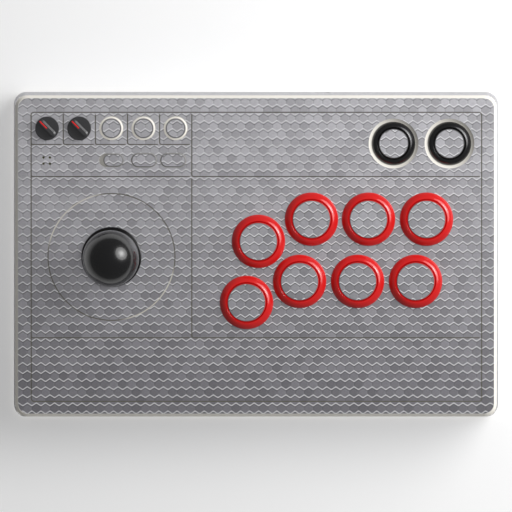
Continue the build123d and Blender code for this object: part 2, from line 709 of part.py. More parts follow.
# Pressed caps reach down to their tact switches and leave them room to travel.
tact_height = 3.6
cap_stem_end = control_board_top + tact_height + press_travel + 0.1
flange_bottom = panel_underside - 2.4
flange_height = 1.2
cap_stem_radius = 1.8
for number, (x, y) in enumerate(round_places, start=1):
    with BuildPart() as round_button:
        with BuildSketch(Plane((x, y, flange_bottom))):
            Circle(round_ring / 2)
        extrude(amount=panel_top + round_proud - flange_bottom)
        ring_top = round_button.faces().sort_by(Axis.Z)[-1]
        chamfer(ring_top.edges(), (round_ring - round_diameter) / 2 - 0.15, round_slope, reference=ring_top)
        with BuildSketch(Plane((x, y, flange_bottom))):
            Circle(round_ring / 2 + 1.4)
        extrude(amount=flange_height)
        with BuildSketch(Plane((x, y, cap_stem_end))):
            Circle(cap_stem_radius)
        extrude(amount=flange_bottom - cap_stem_end)
    round_button.part.label = f"round_button_{number}"
    export_step(round_button.part, f"parts/round_button_{number}.step")

for number, (x, y) in enumerate(pill_places, start=1):
    with BuildPart() as pill_button:
        with BuildSketch(Plane((x, y, flange_bottom))):
            SlotOverall(*pill_size)
        extrude(amount=panel_top + pill_proud - flange_bottom)
        fillet(pill_button.edges().group_by(Axis.Z)[-1], 0.3)
        with BuildSketch(Plane((x, y, flange_bottom))):
            SlotOverall(pill_size[0] + 1.6, pill_size[1] + 2.4)
        extrude(amount=flange_height)
        with BuildSketch(Plane((x, y, cap_stem_end))):
            Circle(cap_stem_radius)
        extrude(amount=flange_bottom - cap_stem_end)
    pill_button.part.label = f"pill_button_{number}"
    export_step(pill_button.part, f"parts/pill_button_{number}.step")

# The slide cap rests at the right-hand end of its slot, on a wider foot under the panel.
slide_rest = (slide_place[0] + (slide_slot[0] - slide_cap[0]) / 2 - running_gap, slide_place[1])
slide_foot_bottom = panel_underside - 2
switch_lever_bottom = 42.5
with BuildPart() as slide_switch_cap:
    with BuildSketch(Plane((*slide_rest, slide_foot_bottom + 1.5))):
        SlotOverall(*slide_cap)
    extrude(amount=panel_top + 0.2 - slide_foot_bottom - 1.5)
    fillet(slide_switch_cap.edges().group_by(Axis.Z)[-1], 0.3)
    with BuildSketch(Plane((*slide_rest, slide_foot_bottom))):
        Rectangle(*slide_foot)
    extrude(amount=1.5)
    with BuildSketch(Plane((*slide_rest, switch_lever_bottom))):
        Rectangle(2.4, 2.4)
    extrude(amount=slide_foot_bottom - switch_lever_bottom)
slide_switch_cap.part.label = "slide_switch_cap"
export_step(slide_switch_cap.part, "parts/slide_switch_cap.step")

with BuildPart() as slide_switch_body:
    with BuildSketch(Plane((*slide_place, control_board_top))):
        Rectangle(13, 6)
    extrude(amount=switch_lever_bottom - 0.3 - control_board_top)
slide_switch_body.part.label = "slide_switch_body"
export_step(slide_switch_body.part, "parts/slide_switch_body.step")

with BuildPart() as tact_switches:
    with BuildSketch(Plane.XY.offset(control_board_top)):
        with Locations(round_places + pill_places):
            Rectangle(6, 6)
    extrude(amount=tact_height - 0.8)
    with BuildSketch(Plane.XY.offset(control_board_top)):
        with Locations(round_places + pill_places):
            Circle(1.6)
    extrude(amount=tact_height)
tact_switches.part.label = "tact_switches"
export_step(tact_switches.part, "parts/tact_switches.step")

# One clear piece carries the light from the board to the four dots.
with BuildPart() as indicator_light_guide:
    with BuildSketch(Plane.XY.offset(panel_underside - 2)):
        with Locations(light_middle):
            RectangleRounded(8, 8, 1)
    extrude(amount=2)
    with BuildSketch(Plane.XY.offset(panel_underside)):
        with Locations(light_places):
            Circle(light_diameter / 2)
    extrude(amount=panel_top - panel_underside)
    with BuildSketch(Plane.XY.offset(control_board_top + 1)):
        with Locations(light_middle):
            Circle(light_diameter)
    extrude(amount=panel_underside - 2 - control_board_top - 1)
indicator_light_guide.part.label = "indicator_light_guide"
export_step(indicator_light_guide.part, "parts/indicator_light_guide.step")

# ---- Boards, socket, battery and their screws ----
with BuildPart() as control_board:
    with BuildSketch(Plane.XY.offset(control_board_bottom)):
        with Locations(control_board_place):
            RectangleRounded(*control_board_size, 2)
        with Locations(control_bosses):
            Circle(small_clearance / 2, mode=Mode.SUBTRACT)
    extrude(amount=board_height)
    with BuildSketch(Plane.XY.offset(control_board_top)):
        with Locations(light_middle):
            Rectangle(5, 5)
    extrude(amount=0.9)
control_board.part.label = "control_board"
export_step(control_board.part, "parts/control_board.step")

with BuildPart() as main_board:
    with BuildSketch(Plane.XY.offset(main_board_bottom)):
        with Locations(main_board_place):
            RectangleRounded(*main_board_size, 2)
        with Locations(main_board_bosses):
            Circle(small_clearance / 2, mode=Mode.SUBTRACT)
    extrude(amount=board_height)
    # The processor, a shielded radio and a row of plug headers.
    board_top = Plane.XY.offset(main_board_bottom + board_height)
    with BuildSketch(board_top):
        with Locations((main_board_place[0], main_board_place[1] - 2)):
            Rectangle(10, 10)
        with Locations((main_board_place[0] + 28, main_board_place[1] + 6)):
            Rectangle(16, 12)
    extrude(amount=1.4)
    with BuildSketch(board_top):
        with Locations((main_board_place[0], main_board_place[1] - 19)):
            with GridLocations(14, 1, 4, 1):
                Rectangle(11, 5.6)
    extrude(amount=5)
main_board.part.label = "main_board"
export_step(main_board.part, "parts/main_board.step")

with BuildPart() as board_screws:
    with BuildSketch(Plane.XY.offset(control_board_bottom)):
        with Locations(control_bosses):
            Circle(small_head / 2)
    extrude(amount=-1.3)
    with BuildSketch(Plane.XY.offset(control_board_bottom)):
        with Locations(control_bosses):
            Circle(small_shank / 2)
    extrude(amount=7)
    with BuildSketch(board_top):
        with Locations(main_board_bosses):
            Circle(small_head / 2)
    extrude(amount=1.3)
    with BuildSketch(board_top):
        with Locations(main_board_bosses):
            Circle(small_shank / 2)
    extrude(amount=-5)
board_screws.part.label = "board_screws"
export_step(board_screws.part, "parts/board_screws.step")

# The USB socket is a thin metal shell with a tongue inside, flush with the rear wall.
usb_mouth = 100.7
with BuildPart() as usb_socket:
    with BuildSketch(Plane.XZ.offset(-usb_mouth)):
        with Locations((usb_x, usb_centre_height)):
            SlotOverall(*usb_size)
            SlotOverall(usb_size[0] - 0.6, usb_size[1] - 0.6, mode=Mode.SUBTRACT)
    extrude(amount=7.3)
    with BuildSketch(Plane.XZ.offset(-usb_mouth + 7.3)):
        with Locations((usb_x, usb_centre_height)):
            SlotOverall(*usb_size)
    extrude(amount=1.2)
    with BuildSketch(Plane.XZ.offset(-usb_mouth + 0.8)):
        with Locations((usb_x, usb_centre_height)):
            Rectangle(6.7, 0.7)
    extrude(amount=7)
usb_socket.part.label = "usb_socket"
export_step(usb_socket.part, "parts/usb_socket.step")

with BuildPart() as battery_pack:
    with BuildSketch(Plane.XY.offset(base_top)):
        with Locations((60.0, -62.0)):
            RectangleRounded(60, 38, 2)
    extrude(amount=7)
    fillet(battery_pack.edges().filter_by(GeomType.LINE).group_by(Axis.Z)[-1], 1.5)
battery_pack.part.label = "battery_pack"
export_step(battery_pack.part, "parts/battery_pack.step")
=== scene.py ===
import math

import bmesh
import bpy
from bpy.props import FloatProperty, FloatVectorProperty, PointerProperty
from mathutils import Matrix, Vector


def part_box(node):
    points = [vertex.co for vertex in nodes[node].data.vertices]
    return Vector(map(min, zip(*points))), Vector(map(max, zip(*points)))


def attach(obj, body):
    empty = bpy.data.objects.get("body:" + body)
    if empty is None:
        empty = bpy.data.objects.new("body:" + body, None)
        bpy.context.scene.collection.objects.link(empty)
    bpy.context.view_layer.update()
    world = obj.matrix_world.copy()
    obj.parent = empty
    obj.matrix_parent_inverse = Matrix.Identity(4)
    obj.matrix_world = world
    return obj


bl_info = {
    "name": "Arcade joystick panel",
    "version": (1, 0, 0),
    "blender": (4, 5, 0),
    "location": "View3D > Sidebar > Arcade panel",
    "description": "Finishes and fine parts for a table-top arcade joystick panel",
    "category": "Object",
}

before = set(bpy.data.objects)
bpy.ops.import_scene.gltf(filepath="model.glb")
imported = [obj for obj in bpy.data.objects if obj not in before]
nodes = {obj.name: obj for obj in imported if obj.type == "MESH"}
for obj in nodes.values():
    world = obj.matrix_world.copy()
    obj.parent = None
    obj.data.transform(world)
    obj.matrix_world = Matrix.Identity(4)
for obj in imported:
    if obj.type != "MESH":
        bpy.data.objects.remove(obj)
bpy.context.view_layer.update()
MM = 0.001

LARGE_BUTTONS = range(1, 9)
SMALL_BUTTONS = range(1, 3)
ROUND_BUTTONS = range(1, 4)
PILL_BUTTONS = range(1, 3)
PANEL_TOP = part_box("skin_top")[1].z
LEVER_CENTRE = (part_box("lever_shaft")[0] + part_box("lever_shaft")[1]) / 2


# ---------------------------------------------------------------------------
# Shader maths
# ---------------------------------------------------------------------------

class Value:
    """One number socket of a finish, with its sums written as Python expressions."""

    def __init__(self, finish, socket):
        self.finish = finish
        self.socket = socket

    def sum_node(self, operation, *terms):
        return self.finish.node("ShaderNodeMath", {"operation": operation}, dict(enumerate(terms)))

    def __add__(self, other):
        return self.sum_node("ADD", self, other)

    def __radd__(self, other):
        return self.sum_node("ADD", other, self)

    def __sub__(self, other):
        return self.sum_node("SUBTRACT", self, other)

    def __rsub__(self, other):
        return self.sum_node("SUBTRACT", other, self)

    def __mul__(self, other):
        return self.sum_node("MULTIPLY", self, other)

    def __rmul__(self, other):
        return self.sum_node("MULTIPLY", other, self)

    def __truediv__(self, other):
        return self.sum_node("DIVIDE", self, other)

    def __abs__(self):
        return self.sum_node("ABSOLUTE", self)

    def __lt__(self, other):
        return self.sum_node("LESS_THAN", self, other)

    def __gt__(self, other):
        return self.sum_node("GREATER_THAN", self, other)

    def whole(self):
        """The nearest whole number."""
        return self.sum_node("ROUND", self)

    def part(self):
        """What is left above the whole number below."""
        return self.sum_node("FRACT", self)

    def smaller(self, other):
        return self.sum_node("MINIMUM", self, other)

    def larger(self, other):
        return self.sum_node("MAXIMUM", self, other)

    def to_power(self, other):
        return self.sum_node("POWER", self, other)

    def ramp(self, low, high, to_low=0.0, to_high=1.0):
        """A smooth step between two limits, mapped to two results."""
        return self.finish.node("ShaderNodeMapRange", {"interpolation_type": "SMOOTHSTEP", "clamp": True},
                                {"Value": self, "From Min": low, "From Max": high,
                                 "To Min": to_low, "To Max": to_high})


class Finish:
    """A procedural material: its shader, with constant values set on it, and the nodes that feed it."""

    def __init__(self, name, **constants):
        self.material = bpy.data.materials.new(name)
        self.material.use_nodes = True
        self.tree = self.material.node_tree
        self.shader = next(n for n in self.tree.nodes if n.type == "BSDF_PRINCIPLED")
        for words, value in constants.items():
            self.shader.inputs[words.replace("_", " ")].default_value = value
        self.place = self.node("ShaderNodeTexCoord", output="Object")

    def node(self, kind, settings=None, inputs=None, output=0):
        """Add a node of any type: settings first, then socket values or links. Gives one output."""
        made = self.tree.nodes.new(kind)
        for words, value in (settings or {}).items():
            setattr(made, words, value)
        for key, value in (inputs or {}).items():
            socket = made.inputs[key]
            if isinstance(value, Value):
                self.tree.links.new(value.socket, socket)
            else:
                socket.default_value = value
        return Value(self, made.outputs[output])

    def axes(self, vector=None):
        """The three numbers of a vector, in millimetres when it is a place."""
        split = self.node("ShaderNodeSeparateXYZ", inputs={0: vector or self.place})
        outputs = split.socket.node.outputs
        return [Value(self, outputs[axis]) for axis in range(3)]

    def places_mm(self):
        return [axis * 1000.0 for axis in self.axes()]

    def noise(self, scale, detail=3.0, roughness=0.55, vector=None):
        return self.node("ShaderNodeTexNoise", {"noise_dimensions": "3D"},
                         {"Vector": vector or self.place, "Scale": scale, "Detail": detail,
                          "Roughness": roughness})

    def blend(self, amount, first, second):
        """A colour between two others. Either may be a link or a plain colour."""
        def colour(value):
            return value if isinstance(value, Value) else (*value, 1.0)
        made = self.tree.nodes.new("ShaderNodeMix")
        made.data_type = "RGBA"
        for index, value in ((0, amount), (6, colour(first)), (7, colour(second))):
            if isinstance(value, Value):
                self.tree.links.new(value.socket, made.inputs[index])
            else:
                made.inputs[index].default_value = value
        return Value(self, made.outputs[2])

    def feed(self, **links):
        """Link what varies over the surface to the shader."""
        for words, value in links.items():
            self.tree.links.new(value.socket, self.shader.inputs[words.replace("_", " ")])

    def relief(self, height, distance, strength=1.0):
        """Bump from a height, in metres."""
        self.feed(Normal=self.node("ShaderNodeBump", inputs={"Strength": strength, "Distance": distance,
                                                             "Height": height}))


# ---------------------------------------------------------------------------
# Sizes and colours that a user would change
# ---------------------------------------------------------------------------

def length(name, description, millimetres):
    return FloatProperty(name=name, description=description, default=millimetres * MM, unit="LENGTH",
                         precision=5, min=0.0)


def colour(name, description, value):
    return FloatVectorProperty(name=name, description=description, default=value, subtype="COLOR", size=3,
                               min=0.0, max=1.0)


class PanelSizes(bpy.types.PropertyGroup):
    """Sizes of the printed pattern and of the fine parts."""
    cell_width: length("Cell width", "Width of one hexagon across its flats", 5.65)
    cell_pitch: length("Cell pitch", "Distance from one row of hexagons to the next", 5.023)
    cell_rise: length("Cell rise", "Half the height of the zigzag between two rows", 0.966)
    cell_relief: length("Cell relief", "Height of the relief of the hexagons", 0.10)
    face_film: length("Face film", "Thickness of the film on the button faces", 0.15)
    face_margin: length("Face margin", "Bare edge round the film on a plunger", 0.28)
    pointer_width: length("Pointer width", "Width of the pointer line on a knob", 0.75)
    mat_bump: length("Mat dimple", "Width of the dimples under the mat", 3.2)


class PanelColours(bpy.types.PropertyGroup):
    """Colours of the panel's finishes."""
    # The film runs from the rear colour to the darker front colour; this darkening is partly a printed
    # gradient and partly painted shade.
    film_rear: colour("Film at the rear", "Printed film along the rear edge", (0.43, 0.425, 0.45))
    film_front: colour("Film at the front", "Printed film along the front edge", (0.165, 0.162, 0.178))
    # The line colour is painted shade: the dark of the embossed grooves.
    film_line: colour("Film lines", "Embossed frame lines on the film", (0.115, 0.108, 0.088))
    shell: colour("Shell", "Light plastic of the case", (0.80, 0.77, 0.71))
    rim_red: colour("Red rims", "Plastic of the large push buttons", (0.62, 0.012, 0.012))
    black: colour("Black plastic", "Ball top and small button rims", (0.005, 0.005, 0.0055))
    knob: colour("Knobs", "Plastic of the selector knobs", (0.036, 0.036, 0.038))
    pointer: colour("Pointer", "Pointer line on the knobs", (0.80, 0.015, 0.015))
    rubber: colour("Mat", "Rubber of the mat", (0.018, 0.018, 0.020))


def sizes():
    return bpy.context.scene.panel_sizes


def colours():
    return bpy.context.scene.panel_colours


# ---------------------------------------------------------------------------
# Finishes
# ---------------------------------------------------------------------------

finishes = {}


def finish(function):
    """Make a finish the first time that it is asked for, and give its material after that."""
    def material(*details):
        key = (function.__name__, *details)
        if key not in finishes:
            finishes[key] = function(*details).material
        return finishes[key]
    return material


REAR_ROW = 93.34              # level of the rearmost zigzag, in millimetres from the middle
FIRST_POINT = -145.2          # where that zigzag has its first point
PILL_FILM = (15.7 * MM, 8.5 * MM)
SLIDE_FILM = (12.4 * MM, 7.9 * MM)


def hexagons(made, across, along):
    """Rows of point-up hexagons over two places in millimetres.

    Gives the number of the cell as a random value, how close the place is to a bright upper edge,
    to the dark line below it and to a cell's upright sides, and the height of the relief.
    """
    width, pitch, rise = (size / MM for size in (sizes().cell_width, sizes().cell_pitch, sizes().cell_rise))
    rows = (REAR_ROW - along) / pitch
    line = rows.whole()
    flip = 1.0 - (line * 0.5).part() * 4.0
    columns = (across - FIRST_POINT) / width
    zigzag = flip * (abs(columns.part() - 0.5) * 4.0 - 1.0) * rise
    above = (line - rows) * pitch - zigzag
    row = line - (above > 0.0)
    shifted = columns - (row * 0.5).part()
    column = shifted.whole()
    side = (0.5 - abs(shifted - column)) * width
    number = made.node("ShaderNodeCombineXYZ", inputs={0: column, 1: row, 2: 0.0})
    chance = made.node("ShaderNodeTexWhiteNoise", {"noise_dimensions": "3D"}, {"Vector": number})
    bright = abs(above - 0.12).ramp(0.08, 0.36, 1.0, 0.0)
    dark = abs(above + 0.44).ramp(0.16, 0.55, 1.0, 0.0) * (1.0 - bright)
    upright = side.ramp(0.05, 0.45, 1.0, 0.0)
    cushion = abs(above).smaller(side).ramp(0.0, 0.9)
    return chance, bright, dark, upright, cushion


def film(name, across_along, shade, lines=None):
    """The printed film: a metallic grey that darkens towards the front, partly a printed gradient and partly
    painted shade, with a hexagon relief.
    """
    made = Finish(name, Metallic=0.25, Specular_IOR_Level=0.45)
    across, along = across_along(made)
    chance, bright, dark, upright, cushion = hexagons(made, across, along)
    # Partly painted shade: the film is darker towards the front, on the top, the sides and the button faces.
    tint = made.blend(shade(made), tuple(colours().film_front), tuple(colours().film_rear))
    mottle = made.noise(900.0, 2.0).ramp(0.3, 0.7, 0.94, 1.06)
    level = (0.86 + chance * 0.30) * mottle * (1.0 - upright * 0.14)
    tone = made.node("ShaderNodeCombineColor", inputs={0: level, 1: level, 2: level})
    base = made.node("ShaderNodeMix", {"data_type": "RGBA", "blend_type": "MULTIPLY"},
                     {0: 1.0, 6: tint, 7: tone}, output=2)
    base = made.blend(dark * 0.75, base, tuple(part * 0.10 for part in colours().film_rear))
    base = made.blend(bright * 0.95, base, (0.95, 0.95, 0.97))
    height = cushion * 0.6 + bright * 0.4
    if lines:
        mask, painted_highlight = lines(made, across, along)
        # The lines are painted dark as groove shade, and two quarters of the ring get a light painted
        # highlight colour.
        base = made.blend(mask * 0.95, base, made.blend(painted_highlight, tuple(colours().film_line), (0.62, 0.59, 0.52)))
        height = height * (1.0 - mask)
    made.feed(Base_Color=base, Roughness=(0.40 + chance * 0.10 + dark * 0.1))
    made.relief(height, sizes().cell_relief)
    return made


def front_to_rear(made):
    """0 along the front edge of the panel and 1 along the rear edge."""
    low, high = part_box("skin_top")
    return (made.places_mm()[1] - low.y / MM) / ((high.y - low.y) / MM)


def panel_places(made):
    x, y, _ = made.places_mm()
    return x, y


def side_places(made):
    """A way round the case, from the front left corner through the right-hand side, and the height."""
    x, y, z = made.places_mm()
    low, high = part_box("skin_sides")
    half_length, half_width = high.x / MM, high.y / MM
    along_side = half_length + half_width
    on_long_side = (abs(y) - half_width) > (abs(x) - half_length)
    rear, right = y > 0.0, x > 0.0
    long_way = rear * (2 * along_side - x) + (1.0 - rear) * x
    short_way = right * (along_side + y) + (1.0 - right) * (3 * along_side - y)
    return on_long_side * long_way + (1.0 - on_long_side) * short_way, z


def near(value, target, half=0.25):
    return abs(value - target).ramp(half, half + 0.14, 1.0, 0.0)


def between(value, low, high):
    return (value > low) * (value < high)


def far(across, along):
    """The distance from a point, from how far it is across and along."""
    return (across * across + along * along).to_power(0.5)


def field_line(across, along, width, depth):
    """The line down a field's left side that turns along its foot and stops short of the next line.

    The places are measured from the field's lower left corner.
    """
    turn, gap, half = 1.2, 1.0, 0.30
    bend = far((turn - across).larger(0.0), (turn - along).larger(0.0))
    return near(bend, turn, half) * between(across, -0.5, width - gap) * between(along, -0.5, depth - gap)


def embossed_lines(made, x, y):
    """The fine lines on the top film: a frame, its fields, five small cells and a ring, with a painted
    highlight on two quarters of the ring.
    """
    left, right, front, rear, corner = -140.0, 140.4, -90.6, 89.4, 1.7
    divider, cell, cell_foot, rear_band, front_band = -40.0, 20.0, 69.4, 49.4, -51.0
    reach_x, reach_y = (right - left) / 2 - corner, (rear - front) / 2 - corner
    frame_line = near(far((abs(x - (left + right) / 2) - reach_x).larger(0.0),
                          (abs(y - (front + rear) / 2) - reach_y).larger(0.0)), corner, 0.30)
    # The cells repeat from left to right; one millimetre is kept to the left of each one's line.
    cell_place = ((x - left + 1.0) / cell).part() * cell - 1.0
    drawn = frame_line.larger(field_line(cell_place, y - cell_foot, cell, rear - cell_foot)
                              * between(x, left - 0.5, divider - 0.9))
    for field_left, field_front, field_right, field_rear in (
            (left, rear_band, divider, cell_foot), (divider, rear_band, right, rear),
            (left, front_band, divider, rear_band), (divider, front_band, right, rear_band)):
        drawn = drawn.larger(field_line(x - field_left, y - field_front, field_right - field_left,
                                        field_rear - field_front))
    lever = LEVER_CENTRE / MM
    across, along = x - lever.x, y - lever.y
    ring = near(far(across, along), 39.5, 0.28)
    # Two quarters of the ring get a painted highlight and the other two stay painted dark.
    painted_highlight = ring * (across * along).ramp(-500.0, -150.0, 1.0, 0.0)
    return drawn.larger(ring), painted_highlight


@finish
def top_film():
    return film("top_film", panel_places, front_to_rear, embossed_lines)


@finish
def face_film():
    return film("face_film", panel_places, front_to_rear)


@finish
def side_film():
    # The sides carry the same darkening towards the front, partly painted shade.
    return film("side_film", side_places, front_to_rear)


@finish
def shell_plastic():
    """Light moulded plastic with a fine spark-eroded grain."""
    made = Finish("shell_plastic", Specular_IOR_Level=0.5)
    cloud = made.noise(18.0, 4.0)
    grain = made.noise(2600.0, 2.0)
    shell = tuple(colours().shell)
    made.feed(Base_Color=made.blend(cloud.ramp(0.35, 0.65, 0.0, 0.5), shell, tuple(c * 0.93 for c in shell)),
              Roughness=0.38 + grain * 0.12)
    made.relief(grain, 0.00002, 0.5)
    return made


def glossy_plastic(name, base, roughness=0.16, coat=0.5):
    """Polished moulded plastic: a faint flow in its colour and fine scuffs in its gloss."""
    made = Finish(name, Specular_IOR_Level=0.5, Coat_Roughness=0.08)
    flow = made.noise(60.0, 3.0)
    scuffs = made.noise(700.0, 5.0, 0.7).ramp(0.55, 0.75)
    made.feed(Base_Color=made.blend(flow.ramp(0.3, 0.7, 0.0, 0.35), base, tuple(c * 0.85 for c in base)),
              Roughness=roughness + scuffs * 0.07, Coat_Weight=coat - scuffs * coat * 0.4)
    made.relief(made.noise(260.0, 2.0), 0.00001, 0.35)
    return made


@finish
def red_rim():
    return glossy_plastic("red_rim", tuple(colours().rim_red), 0.17, 0.5)


@finish
def black_gloss():
    return glossy_plastic("black_gloss", tuple(colours().black), 0.22, 0.6)


def satin_plastic(name, base, roughness=0.42):
    """Grained dark plastic, a little polished where it is handled."""
    made = Finish(name, Specular_IOR_Level=0.5)
    grain = made.noise(1900.0, 3.0)
    handled = made.noise(45.0, 3.0).ramp(0.42, 0.62)
    made.feed(Base_Color=made.blend(handled * 0.4, base, tuple(c * 1.25 for c in base)),
              Roughness=roughness - handled * 0.06 + grain * 0.08)
    made.relief(grain, 0.00003, 0.5)
    return made


@finish
def knob_plastic():
    return satin_plastic("knob_plastic", tuple(colours().knob), 0.34)


@finish
def dark_plastic():
    return satin_plastic("dark_plastic", (0.03, 0.03, 0.033), 0.45)


@finish
def grey_plastic():
    return satin_plastic("grey_plastic", (0.30, 0.295, 0.28), 0.45)


@finish
def film_edge():
    return satin_plastic("film_edge", (0.10, 0.10, 0.105), 0.5)


@finish
def base_plastic():
    return satin_plastic("base_plastic", (0.045, 0.045, 0.05), 0.55)


@finish
def white_plastic():
    return satin_plastic("white_plastic", (0.72, 0.72, 0.70), 0.35)


@finish
def pointer_paint():
    made = Finish("pointer_paint", Specular_IOR_Level=0.4)
    speckle = made.noise(1500.0, 3.0)
    paint = tuple(colours().pointer)
    made.feed(Base_Color=made.blend(speckle.ramp(0.4, 0.8, 0.0, 0.3), paint, tuple(c * 0.8 for c in paint)),
              Roughness=0.35 + speckle * 0.15)
    return made


@finish
def rubber():
    made = Finish("rubber", Specular_IOR_Level=0.25)
    bloom = made.noise(30.0, 4.0)
    grain = made.noise(1400.0, 3.0)
    base = tuple(colours().rubber)
    made.feed(Base_Color=made.blend(bloom.ramp(0.4, 0.7, 0.0, 0.6), base, tuple(c * 1.9 for c in base)),
              Roughness=0.72 + grain * 0.15)
    x, y, _ = made.places_mm()
    pitch = sizes().mat_bump / MM * 1.6
    across, along = (x / pitch).part() - 0.5, (y / pitch).part() - 0.5
    dimple = far(across, along).ramp(0.22, 0.34)
    made.relief(dimple * 0.85 + grain * 0.15, 0.0004, 0.8)
    return made


@finish
def zinc_steel():
    """Zinc-plated steel: fine streaks along the sheet and a slightly patchy gloss."""
    made = Finish("zinc_steel", Metallic=1.0)
    x, y, z = made.axes()
    streak_place = made.node("ShaderNodeCombineXYZ", inputs={0: x * 40.0, 1: y * 900.0, 2: z * 900.0})
    streaks = made.noise(1.0, 3.0, vector=streak_place)
    patches = made.noise(70.0, 2.0)
    made.feed(Base_Color=made.blend(patches.ramp(0.35, 0.65), (0.58, 0.58, 0.60), (0.66, 0.66, 0.65)),
              Roughness=0.24 + streaks * 0.22)
    made.relief(streaks, 0.00001, 0.4)
    return made


@finish
def turned_steel():
    """Bright turned steel, with fine tool rings along the shaft."""
    made = Finish("turned_steel", Metallic=1.0)
    height = made.node("ShaderNodeCombineXYZ", inputs={2: made.axes()[2] * 5000.0})
    rings = made.noise(1.0, 2.0, vector=height)
    made.feed(Base_Color=made.blend(rings, (0.66, 0.66, 0.68), (0.72, 0.72, 0.73)),
              Roughness=0.10 + rings * 0.12)
    made.relief(rings, 0.000005, 0.4)
    return made


@finish
def smoked_lens():
    """The indicator lights, unlit: dark olive clear plastic."""
    made = Finish("smoked_lens", Specular_IOR_Level=0.6)
    depth = made.noise(900.0, 2.0)
    made.feed(Base_Color=made.blend(depth, (0.035, 0.034, 0.016), (0.075, 0.070, 0.035)),
              Roughness=0.16 + depth * 0.1)
    return made


@finish
def board_mask():
    """Green solder mask over copper tracks, with tinned pads in between."""
    made = Finish("board_mask", Specular_IOR_Level=0.5)
    x, y, _ = made.places_mm()
    track = near(((x + y * 0.25) / 2.4).part(), 0.5, 0.22) * ((y / 9.0).part() > 0.35)
    pads_x, pads_y = (x / 5.08).part() - 0.5, (y / 5.08).part() - 0.5
    pad = (pads_x * pads_x + pads_y * pads_y).to_power(0.5).ramp(0.13, 0.17, 1.0, 0.0)
    mask = made.blend(track * 0.6, (0.008, 0.075, 0.028), (0.02, 0.15, 0.06))
    made.feed(Base_Color=made.blend(pad, mask, (0.62, 0.56, 0.38)), Metallic=pad * 0.9,
              Roughness=0.32 + made.noise(500.0) * 0.1)
    made.relief(track.larger(pad), 0.00004, 0.6)
    return made


@finish
def battery_wrap():
    made = Finish("battery_wrap", Specular_IOR_Level=0.5)
    wrinkle = made.noise(220.0, 4.0, 0.65)
    made.feed(Base_Color=made.blend(wrinkle, (0.02, 0.07, 0.26), (0.03, 0.10, 0.34)),
              Roughness=0.25 + wrinkle * 0.2)
    made.relief(wrinkle, 0.0001, 0.5)
    return made


# ---------------------------------------------------------------------------
# Shapes
# ---------------------------------------------------------------------------

def add_object(name, mesh_maker, material, body, smooth=True):
    """Make a mesh object from a function that fills a bmesh, and let it ride on a body."""
    work = bmesh.new()
    mesh_maker(work)
    bmesh.ops.recalc_face_normals(work, faces=work.faces)
    mesh = bpy.data.meshes.new(name)
    work.to_mesh(mesh)
    work.free()
    mesh.shade_smooth() if smooth else mesh.shade_flat()
    mesh.materials.append(material)
    made = bpy.data.objects.new(name, mesh)
    bpy.context.scene.collection.objects.link(made)
    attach(made, body)
    return made


def stadium(centre, size, inset=0.0, steps=24):
    """Points round a shape with two straight sides and two round ends; a circle when the sizes are equal."""
    length_x, width_y = size[0] - 2 * inset, size[1] - 2 * inset
    radius = width_y / 2
    reach = (length_x - width_y) / 2
    points = []
    for end in (1, -1):
        for step in range(steps + 1):
            angle = math.pi * (step / steps - 0.5) + (0 if end == 1 else math.pi)
            points.append((centre.x + end * reach + radius * math.cos(angle),
                           centre.y + radius * math.sin(angle)))
    return points


def stack_rings(work, rings):
    """Join closed outlines, each a list of points at one level, and close the first and the last."""
    levels = [[work.verts.new((x, y, z)) for x, y in outline] for outline, z in rings]
    for lower, upper in zip(levels, levels[1:]):
        for index in range(len(lower)):
            following = (index + 1) % len(lower)
            work.faces.new((lower[index], lower[following], upper[following], upper[index]))
    work.faces.new(reversed(levels[0]))
    work.faces.new(levels[-1])
    bmesh.ops.remove_doubles(work, verts=work.verts, dist=1e-7)


def film_face(name, node, size, body, margin, border=0.1 * MM):
    """A thin film with a rolled edge and a dark border, on the top of a CAD node."""
    low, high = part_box(node)
    centre = (low + high) / 2
    top = high.z + sizes().face_film

    def fill(work):
        roll = (top - high.z) * 0.8
        edges = [(margin, high.z), (margin, top - roll), (margin + roll * 0.8, top - roll * 0.3),
                 (margin + roll * 2.0, top), (margin + roll * 2.0 + border, top)]
        stack_rings(work, [(stadium(centre, size, inset), level) for inset, level in edges])

    made = add_object(name, fill, face_film(), body)
    shade_by_angle(made)
    made.data.materials.append(film_edge())
    for face in made.data.polygons:
        face.material_index = int(len(face.vertices) == 4)
    return made


def shade_by_angle(thing, degrees=32):
    """Smooth shading that keeps sharp edges."""
    sharp = math.radians(degrees)
    work = bmesh.new()
    work.from_mesh(thing.data)
    for edge in work.edges:
        edge.smooth = len(edge.link_faces) == 2 and edge.calc_face_angle(0.0) < sharp
    for face in work.faces:
        face.smooth = True
    work.to_mesh(thing.data)
    work.free()


def dress(node, material):
    """Give a CAD node its finish."""
    thing = nodes[node]
    thing.data.materials.clear()
    thing.data.materials.append(material)


# ---------------------------------------------------------------------------
# Operators: one for each piece or group of like pieces
# ---------------------------------------------------------------------------

class ARCADE_OT_case(bpy.types.Operator):
    """Finish the shell, its films, the base plate and the screws"""
    bl_idname = "arcade.case"
    bl_label = "Case"

    def execute(self, context):
        dress("top_shell", shell_plastic())
        dress("skin_top", top_film())
        dress("skin_sides", side_film())
        dress("base_plate", base_plastic())
        dress("non_slip_mat", rubber())
        dress("case_screws", zinc_steel())
        return {"FINISHED"}


